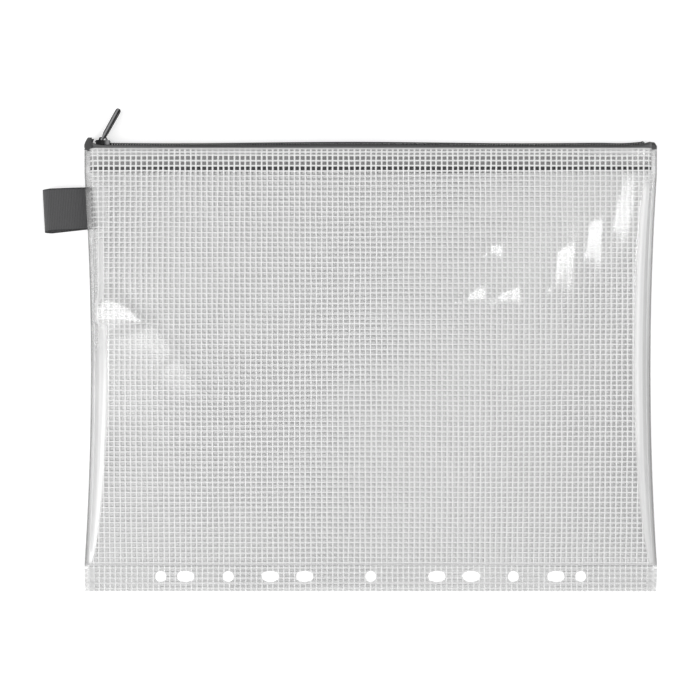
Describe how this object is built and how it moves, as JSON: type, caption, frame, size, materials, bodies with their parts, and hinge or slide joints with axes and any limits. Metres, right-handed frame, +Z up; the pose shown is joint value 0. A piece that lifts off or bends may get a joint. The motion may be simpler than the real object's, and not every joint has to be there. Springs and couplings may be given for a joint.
{
  "type": "document wallet",
  "caption": "A4 document wallet of clear mesh film with a zip along its top edge, a ribbon loop at one side and a punched filing strip for ring binders",
  "frame": {"origin": "middle of the back panel's resting face, halfway between the fold and the panels' top edge", "axes": "+X along the zip, +Y from the filing strip to the zip, +Z up out of the front panel"},
  "size_m": [0.3506, 0.2755, 0.0131],
  "materials": {
    "film": "clear flexible film with a white thread mesh inside",
    "zip_tape": "woven tape",
    "zip_coil": "nylon coil",
    "slider_metal": "dark enamelled casting",
    "ribbon": "ribbed ribbon"
  },
  "bodies": {
    "pouch": {"front_panel": "film", "back_panel": "film", "front_tape": "zip_tape", "rear_tape": "zip_tape", "front_tape_tail": "zip_tape", "rear_tape_tail": "zip_tape", "front_coil": "zip_coil", "rear_coil": "zip_coil", "ribbon_tail": "ribbon"},
    "slider": {"slider_body": "slider_metal"},
    "pull": {"pull_tab": "slider_metal"},
    "loop": {"ribbon_loop": "ribbon"},
    "strip": {"filing_strip": "film"}
  },
  "joints": [
    {"name": "slider_slide", "type": "slide", "parent": "pouch", "child": "slider", "axis": [1, 0, 0], "range_m": [0, 0.302], "deforming": ["front_coil", "rear_coil"]},
    {"name": "pull_swing", "type": "hinge", "parent": "slider", "child": "pull", "pos_m": [-0.15288, 0.12485, 0.00514], "axis": [0, 0, 1], "range_deg": [-49, 84]},
    {"name": "loop_swing", "type": "hinge", "parent": "pouch", "child": "loop", "pos_m": [-0.16287, 0.0851, 0.00085], "axis": [-0.054, 0.9985, 0], "range_deg": [-90, 60]},
    {"name": "strip_fold", "type": "hinge", "parent": "pouch", "child": "strip", "pos_m": [0, -0.1185, 0.00035], "axis": [1, 0, 0], "range_deg": [-90, 90]}
  ]
}
